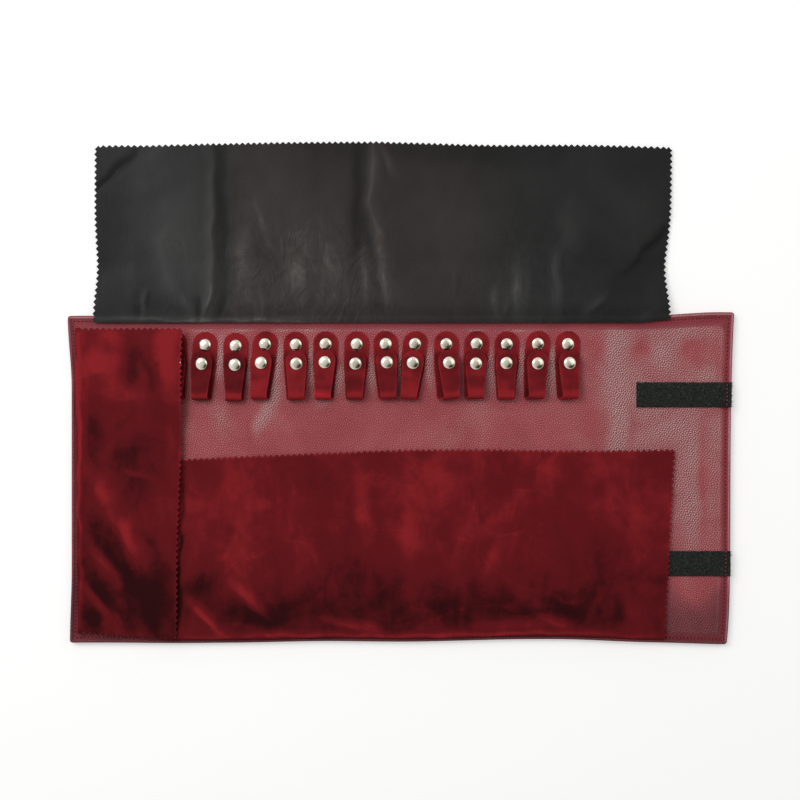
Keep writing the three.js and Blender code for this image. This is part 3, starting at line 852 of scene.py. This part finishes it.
BOTTOM_FOLD = joint_at["bottom_flap_turn"][1]
BOTTOM_FREE = node_box("bottom_flap_3")[1].y
BOTTOM_RIGHT = node_box("bottom_flap_5")[1].x
BOTTOM_RIGHT_TAPER = 8.0
BOTTOM_UNDER_LEFT = 7.0
BOTTOM_FOLDS = [
    (-170, -164, -143, -188, 4, 0.8), (-137, -152, -106, -176, 4, 0.7), (-120, -60, -126, -140, 9, 0.5),
    (-70, -52, -66, -150, 12, 0.4), (-20, -60, -30, -140, 10, 0.5), (60, -50, 52, -130, 13, 0.5),
    (120, -56, 128, -150, 12, 0.4), (180, -60, 172, -170, 10, 0.6), (206, -70, 200, -120, 6, 0.5),
    (-90, -180, 40, -184, 8, 0.4), (90, -176, 190, -182, 7, 0.5),
]
# The bottom flap's nap with painted light and shade: the first two strokes are the painted shadow beside the
# left flap's edge, the long one at Y -192.5 a painted highlight along the fold
BOTTOM_NAP_LIGHT_AND_SHADE = [
    (-172, -45, -177, -120, 1.6, -1.2), (-176, -110, -178, -192, 1.6, -1.2),
    (-169, -165, -144, -189, 3.2, 1.3), (-137, -150, -106, -177, 4.2, 1.0), (-129, -58, -129, -144, 10, 0.4),
    (-118, -87, -104, -88, 6, 0.45), (-144, -124, -138, -128, 8, 0.5), (-84, -66, -42, -70, 16, -0.25),
    (-33, -58, -32, -108, 7, 0.35), (-36, -98, -32, -102, 5, 0.35), (5, -58, 6, -160, 10, 0.35),
    (-190, -174, 70, -178, 24, -0.85), (50, -172, 222, -176, 25, -0.75), (110, -120, 205, -146, 24, -0.3),
    (-62, -180, -22, -189, 3, 0.9), (-28, -184, -16, -189, 2.6, 0.4), (-150, -142, -176, -156, 11, -0.6),
    (-132, -176, -84, -185, 8, -0.5), (-60, -136, -10, -150, 14, -0.3), (-74, -122, -60, -146, 4, 0.35),
    (30, -58, 36, -96, 13, 0.5), (60, -70, 100, -76, 12, -0.2), (95, -84, 60, -116, 6, 0.3),
    (118, -56, 112, -64, 7, 0.4), (140, -80, 160, -100, 13, 0.25), (186, -70, 190, -130, 8, 0.4),
    (170, -130, 200, -140, 9, 0.3), (76, -124, 66, -152, 6, 0.4), (20, -164, 44, -182, 8, -0.3),
    (86, -150, 108, -170, 7, 0.35), (120, -172, 150, -184, 8, -0.25), (112, -182, 132, -188, 2.6, 0.8),
    (176, -160, 196, -184, 6, 0.4), (56, -186, 112, -187, 2.6, 0.5), (-171, -192.5, 208, -192.5, 1.8, 0.8),
    (-8, -110, 26, -128, 8, 0.25), (150, -56, 176, -64, 9, 0.25), (198, -60, 206, -100, 9, 0.4),
]


def bottom_flap_height(x, y):
    inward = y - BOTTOM_FOLD
    z = mix(FOLD_LOW + 2 * FOLD_RADIUS, LINING_Z + 2.7, smooth(0, 26, inward))
    z += 0.4 * smooth(6, 40, inward) * ripple(x, y, 40, 6.0) + strokes(x, y, BOTTOM_FOLDS) * 0.8
    free = smooth(30, 2, BOTTOM_FREE - y) * smooth(168, 150, x)
    return z - 0.9 * free + 0.35 * smooth(8, 0, BOTTOM_FREE - y) * ripple(x, 0, 22, 7.0)


def bottom_flap_section(number):
    low = SECTION_ENDS[number - 1]
    high = min(SECTION_ENDS[number], BOTTOM_RIGHT)
    columns, start, stop, parted = section_columns(low, high, number > 2, number < 5, SHORT_TONGUE)
    if number == 2:
        hidden = [low - BOTTOM_UNDER_LEFT + BOTTOM_UNDER_LEFT * n / 4 for n in range(4)]
        columns, stop = hidden + columns, stop + len(hidden)
        parted = [n + len(hidden) for n in parted]
    reach = BOTTOM_FREE - BOTTOM_FOLD
    rows = folded_rows(reach)

    def spread(x, s, i, j):
        inward, z = folded_place(s)
        y = BOTTOM_FOLD + inward
        up = max(0.0, inward) / reach
        if inward > 0 and s > FOLD_ROOT:
            z = bottom_flap_height(x, y)
            y += up * (mix(-6.4, 2.2, smooth(-215, 5, x)) + 0.5 * math.sin(x / 31))
        px = x + (1.6 - BOTTOM_RIGHT_TAPER * (1 - up)) * smooth(BOTTOM_RIGHT - 70, BOTTOM_RIGHT, x)
        body = start <= i < stop
        if number == 5 and body and s > FOLD_ROOT:
            px -= pinked(len(rows) - 1 - j, stop - 1 - i)
        y -= pinked(i - start if body else 0, len(rows) - 1 - j) + (0.0 if body else 0.3 * up)
        y += bottom_bow(x) * (1 - up) - (1 - up) ** 6
        return px, y, z - (0.0 if body else TONGUE_DROP)

    def nap_light_and_shade(x, s, i, j):
        # Painted highlight along the cut edges
        cut_edge_highlight = CUT_EDGE_HIGHLIGHT if j > len(rows) - 3 or number == 5 and stop - 3 < i else 0.0
        return strokes(x, BOTTOM_FOLD + folded_place(s)[0], BOTTOM_NAP_LIGHT_AND_SHADE) + 0.08 + cut_edge_highlight

    paint = {"nap_light_and_shade": nap_light_and_shade, "body": lambda x, s, i, j: 1.0 if start <= i < stop else TONGUE_SHARE}
    shape = cloth_grid(columns, rows, spread, paint, None, parted)
    piece = flap_cloth(f"bottom_flap_cloth_{number}", shape, "velvet", VELVET, SATIN)
    fold = BOTTOM_FOLD * MM
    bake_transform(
        piece, f"panel_{number}", f"bottom_flap_{number}",
        start=(0, fold, (FOLD_LOW + 0.1) * MM), end=(0, fold + 0.00005, (FOLD_LOW + 1.4) * MM))
    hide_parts(f"bottom_flap_{number}")


for number in range(2, 6):
    bottom_flap_section(number)


LEFT_FOLD = joint_at["left_flap_turn"][0]
LEFT_LOW, LEFT_HIGH = node_box("left_flap")
LEFT_TAPER_AT_BOTTOM = 6.2
LEFT_FOLDS = [
    (-250, -150, -196, -190, 8, 0.7), (-235, -60, -190, -100, 10, 0.6), (-258, -10, -230, 20, 9, 0.5),
    (-215, 40, -200, -30, 9, 0.5), (-240, -120, -200, -150, 7, 0.6), (-190, -130, -182, -190, 6, 0.6),
]
# The left flap's nap, with a painted highlight along its fold in the stroke at X -259
LEFT_NAP_AND_LIGHT = [
    (-185, 50, -185, -2, 9, 0.6), (-215, 45, -217, 4, 9, -0.6), (-204, 33, -193, -2, 5, -0.45),
    (-251, 24, -232, 23, 9, 0.5), (-230, -1, -206, -3, 8, 0.4), (-259, 50, -259, -190, 1.5, 0.9),
    (-249, -12, -247, -54, 8, -0.5), (-222, -24, -206, -99, 22, -0.45), (-251, -62, -208, -131, 6.5, 0.75),
    (-223, -102, -211, -126, 4, 0.6), (-247, -108, -219, -152, 8, -0.65), (-249, -122, -222, -152, 4, 0.75),
    (-253, -143, -230, -174, 7, -0.85), (-257, -156, -232, -182, 3.5, 0.6),
    (-253, -174, -247, -190, 8, -0.85), (-212, -146, -185, -188, 21, -0.75), (-193, -104, -181, -130, 7, 0.4),
    (-196, -59, -187, -97, 7, 0.25), (-240, 50, -225, 46, 6, 0.3), (-222, -60, -198, -66, 2.2, 0.4),
    (-206, -88, -198, -112, 3, 0.3), (-182, -20, -180, -90, 4, 0.3), (-200, -110, -192, -122, 6, -0.3),
]


def left_flap_height(x, y):
    inward = x - LEFT_FOLD
    z = mix(FOLD_LOW + 2 * FOLD_RADIUS, LINING_Z + 4.4, smooth(0, 30, inward))
    over_strap = smooth(-216, -194, x) * smooth(-34, -2, y) * smooth(70, 40, y)
    z += 3.8 * over_strap + 0.9 * smooth(30, 70, inward)
    z += 0.6 * smooth(4, 30, inward) * ripple(x, y, 38, 8.0) + strokes(x, y, LEFT_FOLDS)
    return z


def left_flap_cloth():
    reach = LEFT_HIGH.x - LEFT_FOLD
    columns = even_steps(LEFT_LOW.y, LEFT_HIGH.y)
    rows = folded_rows(reach)

    def spread(v, s, i, j):
        inward, z = folded_place(s)
        x, y = LEFT_FOLD + inward, v
        down = (LEFT_HIGH.y - y) / (LEFT_HIGH.y - LEFT_LOW.y)
        along = max(0.0, inward) / reach
        if inward > 0 and s > FOLD_ROOT:
            z = left_flap_height(x, y)
            x -= along * (LEFT_TAPER_AT_BOTTOM * down + 0.5 * math.sin(y / 24))
        if s < FOLD_ROOT + FOLD_RADIUS:
            y = mix(y, (LEFT_LOW.y + LEFT_HIGH.y) / 2, 0.025)
        elif inward > 3:
            y += pinked(len(rows) - 1 - j, i) - pinked(len(rows) - 1 - j, len(columns) - 1 - i)
        x -= pinked(i, len(rows) - 1 - j)
        y += (1.2 * ripple(x, 5.0, 60) + 6.0 * (1 - along) - 0.5) * smooth(0.7, 1.0, down)
        y -= 1.8 * smooth(0.3, 0.0, down)
        return x + (LEFT_TAPER * down + 1.4) * (1 - along), y, z

    def nap_light_and_shade(v, s, i, j):
        shade = 0.1 - 0.52 * smooth(30, -170, v)
        # Painted highlight along the cut edge
        cut_edge_highlight = CUT_EDGE_HIGHLIGHT if j > len(rows) - 3 else 0.0
        # The nap's strokes, with a painted highlight along the fold
        lie = strokes(LEFT_FOLD + folded_place(s)[0], v, LEFT_NAP_AND_LIGHT)
        return lie * mix(1.0, 1.5, smooth(-110, -20, v)) + shade + cut_edge_highlight

    shape = cloth_grid(columns, rows, spread, {"nap_light_and_shade": nap_light_and_shade})
    bmesh.ops.reverse_faces(shape, faces=shape.faces)
    piece = flap_cloth("left_flap_cloth", shape, "velvet", VELVET, SATIN)
    fold = LEFT_FOLD * MM
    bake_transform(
        piece, "panel_1", "left_flap",
        start=(fold, 0, (FOLD_LOW + 0.1) * MM), end=(fold + 0.00005, 0, (FOLD_LOW + 1.4) * MM))
    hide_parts("left_flap")


# Straps and snaps

# How far each strap sways to the right at its rivet, its snap, its leaf's fold and its back's fold
STRAP_SWAY = [
    (2.8, 3.6, 3.6, 3.6), (2.4, 0.2, -1.0, 0.6), (2.6, 2.4, 1.6, 1.8), (1.7, -1.2, -2.8, -1.6),
    (1.9, 2.6, 2.9, 1.8), (1.3, 0.8, -0.6, 0.4), (1.7, 0.9, 0.6, 0.4), (0.6, 1.5, 2.7, 1.8),
    (-0.4, -2.2, -5.4, -4.4), (0.2, 2.2, 4.4, 0.0), (0, -0.7, -0.7, -2.2), (-0.2, -0.9, -1.2, -1.0),
    (0.2, -0.3, -1.2, -3.4), (-0.2, 0.7, 1.2, -1.6),
]
# How far each strap lies lower at its back and at its leaf
STRAP_DROP = [
    (0, 0), (0.8, 0.4), (1.5, 1.2), (0.3, -0.4), (0.6, 0.3), (0.2, -0.9), (0.3, 0.3), (0, -0.8),
    (0.1, -0.3), (0.2, -0.5), (0, 0.2), (0.3, -0.2), (0, 0.1), (0.1, -0.2),
]
# How light or dark each strap's leaf is, the first one darker as painted shade under the left flap, and how
# strong the painted highlight along its fold is
STRAP_TONE_AND_FOLD_HIGHLIGHT = [
    (-0.4, 0.5), (-0.4, 1.0), (-0.65, 1.5), (0.25, 1.0), (0.25, 0.6), (0.2, 1.6), (-0.4, 1.2), (0, 0.7),
    (0.2, 0.6), (0, 0.9), (-0.1, 0.8), (0, 1.3), (0.15, 0.8), (0.1, 0.9),
]
STRAP_FOLD = joint_at["strap_open_02"][1:]
BACK_TIP = node_box("strap_back_02")[1].y
LEAF_TIP = node_box("strap_front_02")[1].y
RIVET_FROM_TIP = 10.6
SNAP_FROM_TIP = 10.2
RIVET_Y = BACK_TIP - RIVET_FROM_TIP
SNAP_Y = LEAF_TIP - SNAP_FROM_TIP
TWISTED_STRAP = 6
CAP_TILT = 0.07
# Heights in metres between which a strap starts to move with its leaf
LEAF_BEND = (0.0063, 0.0086)
STRAP_LOOP = 3.7
SNAP_Z = 9.5
SECTION_OF_STRAP = [1] + [2] * 4 + [3] * 5 + [4] * 4


def strap_sway(sway, y, front):
    """Sway at a height up the strap: the back runs straight from rivet to fold, the leaf from fold to snap."""
    rivet, snap, leaf_fold, back_fold = sway
    up = y - STRAP_FOLD[0]
    back = mix(back_fold, rivet, up / (RIVET_Y - STRAP_FOLD[0]))
    return mix(back, mix(leaf_fold, snap, up / (SNAP_Y - STRAP_FOLD[0])), front)


def strap_line():
    """The strap's outside from the back's tip, round the loop at the bottom, to the leaf's tip."""
    axis_y, back_z = STRAP_FOLD[0], LINING_Z + 0.05
    line = [(y, back_z) for y in reversed(steps(axis_y + 0.5, BACK_TIP - 0.3, 1.9))]
    middle_z = back_z + STRAP_LOOP
    for n in range(1, 12):
        angle = -math.pi / 2 - math.pi * n / 12
        line.append((axis_y + STRAP_LOOP * math.cos(angle), middle_z + STRAP_LOOP * math.sin(angle)))
    top_z = middle_z + STRAP_LOOP
    for y in steps(axis_y, LEAF_TIP - 0.3, 1.7):
        line.append((y, mix(top_z, SNAP_Z, smooth(axis_y, SNAP_Y - 4, y))))
    return line


STRAP_LINE = strap_line()
LOOP_ROW = next(j for j, (y, z) in enumerate(STRAP_LINE) if z > LINING_Z + 0.06)


def rounded_half(half, to_tip):
    """Half the strap's width near a round tip."""
    if to_tip >= half:
        return half
    return max(1.0, math.sqrt(max(0.0, half * half - (half - to_tip) ** 2)))


def strap_piece(number):
    name = f"{number:02d}"
    section = SECTION_OF_STRAP[number - 1]
    sway = STRAP_SWAY[number - 1]
    back_drop, leaf_drop = STRAP_DROP[number - 1]
    leaf_tone, fold_highlight_strength = STRAP_TONE_AND_FOLD_HIGHLIGHT[number - 1]
    low, high = node_box(f"strap_back_{name}")
    centre = (low.x + high.x) / 2
    last = len(STRAP_LINE) - 1
    top_row = max(range(last + 1), key=lambda j: STRAP_LINE[j][1])
    columns = [n / 5 - 1 for n in range(11)]

    def place(a, b, i, j):
        y, z = STRAP_LINE[j]
        front = smooth(LOOP_ROW, top_row, j)
        up = min(1.0, max(0.0, (y - STRAP_FOLD[0]) / (SNAP_Y - STRAP_FOLD[0])))
        loop_width = mix(LOOP_WIDTH, LEAF_LOOP_WIDTH, front)
        half = mix(loop_width, LEAF_WIDTH if front else BACK_WIDTH, up) / 2
        half = rounded_half(half, (LEAF_TIP if front else BACK_TIP) - y)
        x = centre + strap_sway(sway, y, front) + a * half
        lean = (sway[1] - sway[2]) / 26 * a * half * front
        z += 0.35 * front * ripple(x, y, 9, number) + 0.25 * front * (1 - a * a)
        if number == TWISTED_STRAP:
            z -= 1.2 * front * max(0.0, a) * smooth(16, 2, y)
        return x, y - lean - mix(back_drop, leaf_drop, front * up), z

    def nap_light_and_shade(a, b, i, j):
        y, z = STRAP_LINE[j]
        front = smooth(LOOP_ROW, top_row, j)
        side = 0.5 * ripple(a * 3 + number, y, 7, number)
        # Painted highlight along the fold at the bottom of the loop
        fold_highlight = fold_highlight_strength * hill(y - STRAP_FOLD[0], -1, 4)
        # Painted highlight along the leaf's cut sides
        cut = 0.5 * smooth(0.8, 1.0, abs(a))
        # The back is painted darker where it lies under the leaf, as shade, and lighter towards its tip
        back = -0.25 + 0.65 * smooth(SNAP_Y + 2, RIVET_Y, y)
        return 0.15 + side + cut + mix(back, leaf_tone + fold_highlight, front)

    shape = cloth_grid(columns, list(range(last + 1)), place, {"nap_light_and_shade": nap_light_and_shade})
    strap = finished(f"strap_{name}", shape, "velvet", VELVET)
    thicken(strap, STRAP_THICKNESS)
    nodes = (f"strap_back_{name}", f"strap_front_{name}")
    back_body = f"panel_{section}"
    leaf_body = f"strap_leaf_{name}"
    rivet = metal_piece(f"rivet_{name}", [
        (RIVET_CAP, centre + sway[0], RIVET_Y - back_drop, LINING_Z + STRAP_THICKNESS),
        (SNAP_STUD, centre + sway[1], SNAP_Y - leaf_drop, LINING_Z + STRAP_THICKNESS)])
    snap = metal_piece(f"snap_{name}", [
        (RIVET_CAP, centre + sway[1], SNAP_Y - leaf_drop, SNAP_Z + 0.25),
        (SNAP_SOCKET, centre + sway[1], SNAP_Y - leaf_drop, SNAP_Z - STRAP_THICKNESS)])
    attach(rivet, back_body)
    if number == 1:
        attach(strap, back_body)
        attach(snap, back_body)
    else:
        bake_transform(strap, back_body, leaf_body, start=(0, 0, LEAF_BEND[0]), end=(0, 0, LEAF_BEND[1]))
        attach(snap, leaf_body)
    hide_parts(*nodes)


# Profiles of the turned metal, as radius and height
RIVET_CAP = [
    (0, 1.7), (1.6, 1.66), (3.0, 1.48), (4.0, 1.14), (4.7, 0.72), (5.0, 0.34), (4.95, 0.05), (4.6, -0.1),
    (0, -0.2),
]
SNAP_STUD = [
    (0, 2.0), (1.2, 1.95), (1.8, 1.7), (1.9, 1.3), (1.6, 0.7), (3.4, 0.65), (4.2, 0.5), (4.4, 0.1), (0, -0.2),
]
SNAP_SOCKET = [(2.2, -1.5), (3.8, -1.6), (4.2, -1.3), (4.2, -0.1), (4.4, 0.15), (2.2, 0.2), (2.2, -1.5)]


def metal_piece(name, turned_parts):
    parts = []
    for profile, x, y, z in turned_parts:
        part = revolved(profile)
        if profile is RIVET_CAP:
            tilt = Vector((CAP_TILT * math.sin(x * 1.7 + y), CAP_TILT * math.cos(x * 2.3 + y), 1))
            turn = tilt.to_track_quat("Z", "Y").to_matrix()
            bmesh.ops.rotate(part, cent=(0, 0, 0), matrix=turn, verts=part.verts)
        bmesh.ops.translate(part, vec=(x, y, z), verts=part.verts)
        parts.append(part)
    return finished(name, gathered(parts), "nickel", NICKEL)


for number in range(1, 15):
    strap_piece(number)
left_flap_cloth()


# Tapes

TAPE_GRID = 0.9
LOOP_TOP = 1.45
HOOK_TOP = 1.1
HOOK_BACK = COVER_Z + 0.1
FIBRES = 90


def edge_climb(x, end):
    """How far a loop tape has climbed onto the panel's turned edge, from 0 to 1."""
    return smooth(end - 13, end - 7, x)


def edge_reach(x, y, end):
    """Draws a loop tape's end out to the panel's edge."""
    drawn = panel_outline(RIGHT, y)[0] - 0.5
    return x + (drawn - end) * smooth(FOLDS[3], end, x)


def tape_piece(node, body, material, facing):
    """A strip of tape with slightly frayed cut sides and a raised, uneven pile."""
    low, high = node_box(node)
    columns = steps(low.x, high.x, TAPE_GRID)
    rows = steps(low.y, high.y, TAPE_GRID)

    def pile(x, y, i, j):
        edge = min(x - low.x, high.x - x, y - low.y, high.y - y)
        if facing > 0:
            top = LINING_Z + 0.1 + (EDGE_Z - LINING_Z + 0.1) * edge_climb(x, high.x) + LOOP_TOP
        else:
            top = HOOK_TOP
        fray = 0.3 * noise.noise((x * 0.9, y * 0.9, 3.0)) * smooth(1.0, 0.0, edge)
        rough = 0.22 * noise.noise((x * 0.8, y * 0.8, 11.0)) + 0.12 * noise.noise((x * 2.1, y * 2.1, 5.0))
        height = top - 0.5 * smooth(0.9, 0.0, edge) + rough * (1.0 if facing > 0 else 0.5) - 0.2
        if facing < 0:
            return x + fray, y + fray, COVER_Z - height
        return edge_reach(x + fray, y, high.x), y + fray, height

    def backing(x, y, i, j):
        if facing > 0:
            base = LINING_Z - 0.2 + (EDGE_Z - LINING_Z) * edge_climb(x, high.x)
            return edge_reach(x, y, high.x), y, base
        return x, y, HOOK_BACK

    shape = cloth_grid(columns, rows, pile, {}, backing)
    piece = finished(node.replace("tape", "strip"), shape, "tape", material)
    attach(piece, body)
    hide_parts(node)


def tape_fibres(node, body):
    """Loose fibres at the cut end and along the sides of a loop tape."""
    low, high = node_box(node)
    end_x = edge_reach(high.x, (low.y + high.y) / 2, high.x)
    shape = bmesh.new()
    for n in range(FIBRES):
        draws = [noise.cell(Vector((n * 1.7, 0.5, kind))) for kind in (3.1, 7.1, 11.1)]
        spot, lean, reach = (0.5 + 0.5 * draw for draw in draws)
        at_end = n % 3 > 0
        if at_end:
            x, y, heading = end_x - 0.4, mix(low.y, high.y, spot), (lean - 0.5) * 2.4
        else:
            upper = n % 2
            x, y = mix(low.x, end_x, spot), high.y - 0.3 if upper else low.y + 0.3
            heading = (lean - 0.5) * 2.0 + (math.pi / 2 if upper else -math.pi / 2)
        raised = EDGE_Z if x > high.x - 10 else LINING_Z
        length = (0.9 + 1.3 * reach) * (1.0 if at_end else 0.6)
        lie = Vector((math.cos(heading), math.sin(heading), 0.25 * (reach - 0.4)))
        turn = lie.to_track_quat("Z", "Y").to_matrix().to_4x4()
        middle = Vector((x, y, raised + 0.9)) + lie * length / 2
        bmesh.ops.create_cone(
            shape, cap_ends=True, segments=3, radius1=0.11, radius2=0.03, depth=length,
            matrix=Matrix.Translation(middle) @ turn)
    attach(finished(node.replace("tape", "fibres"), shape, "tape", LOOP_TAPE), body)


for side in ("upper", "lower"):
    tape_fibres(f"loop_tape_{side}", "panel_5")
    tape_piece(f"loop_tape_{side}", "panel_5", LOOP_TAPE, 1)
    tape_piece(f"hook_tape_{side}", "panel_1", HOOK_TAPE, -1)


# Stage and light, in metres

WHITE = (1, 1, 1, 1)
BLACK = (0, 0, 0, 1)
SURROUND_LIGHT = 0.5
DIM_CORNER = Vector((0.5, -0.42, 0.76)).normalized()
TABLE_HALF = 30.0
TABLE_DROP = 0.0004
LAMPS = [("key", (-0.9, 0.7, 1.3), 0.9, 12.0), ("fill", (1.1, 0.5, 1.3), 1.2, 4.0)]
CAMERA_PLACE = (-0.0008, -0.0044)
CAMERA_HEIGHT = 0.9
FIELD_WIDTH = 0.64


class Surround(Finish):
    """The light all round, made of the same nodes as a finish."""

    def __init__(self, world):
        self.tree = world.node_tree
        self.shader = self.tree.nodes["Background"]


def light_surround(world):
    """An even light all round. It is white to the camera, and what mirrors it sees a dim corner."""
    surround = Surround(world)
    seen = surround.ray("Is Camera Ray")
    direction = surround.node("ShaderNodeTexCoord", {}, {}, "Generated")
    to_corner = surround.node(
        "ShaderNodeVectorMath", {"operation": "DOT_PRODUCT"}, {0: direction, 1: DIM_CORNER}, "Value")
    room = surround.layered(
        WHITE,
        (to_corner.between(0.46, 0.86), (0.6, 0.58, 0.54, 1)),
        (to_corner.between(0.8, 0.97), (0.05, 0.04, 0.035, 1)))
    bright = seen + surround.ray("Is Glossy Ray")
    surround.feed(
        Color=surround.blend_colour(seen, room, WHITE), Strength=SURROUND_LIGHT + bright * (1 - SURROUND_LIGHT))


def table_finish():
    """White where the camera or a mirror sees it, and lighter further out."""
    finish = Finish("white_table", Roughness=0.9, Specular_IOR_Level=0.1)
    away = finish.node("ShaderNodeVectorMath", {"operation": "LENGTH"}, {0: finish.place()}, "Value")
    level = finish.blend_colour(away.between(0.4, 1.5), (0.36, 0.36, 0.36, 1), (0.6, 0.6, 0.6, 1))
    glow = finish.blend_colour(finish.ray("Is Camera Ray") + finish.ray("Is Glossy Ray"), BLACK, level)
    finish.feed(Base_Color=(0.9, 0.9, 0.9, 1), Emission_Color=glow, Emission_Strength=1.0)
    return finish.material


def stage():
    """A white table, a soft key lamp from the upper left, a weaker fill and an even surround."""
    table = bmesh.new()
    bmesh.ops.create_grid(table, x_segments=1, y_segments=1, size=TABLE_HALF)
    bmesh.ops.translate(table, vec=(0, 0, -TABLE_DROP), verts=table.verts)
    from_shape("table", table, table_finish())

    scene = bpy.context.scene
    scene.world = bpy.data.worlds.new("studio")
    scene.world.use_nodes = True
    light_surround(scene.world)
    for name, place, size, power in LAMPS:
        lamp = bpy.data.lights.new(name, "AREA")
        lamp.size = size
        lamp.energy = power
        holder = in_scene(name, lamp)
        holder.location = place
        holder.rotation_euler = (-Vector(place)).to_track_quat("-Z", "Y").to_euler()

    camera = bpy.data.cameras.new("camera")
    camera.lens = camera.sensor_width * CAMERA_HEIGHT / FIELD_WIDTH
    scene.camera = in_scene("camera", camera)
    scene.camera.location = (*CAMERA_PLACE, CAMERA_HEIGHT + LINING_Z * MM)
    scene.view_settings.view_transform = "Standard"


stage()
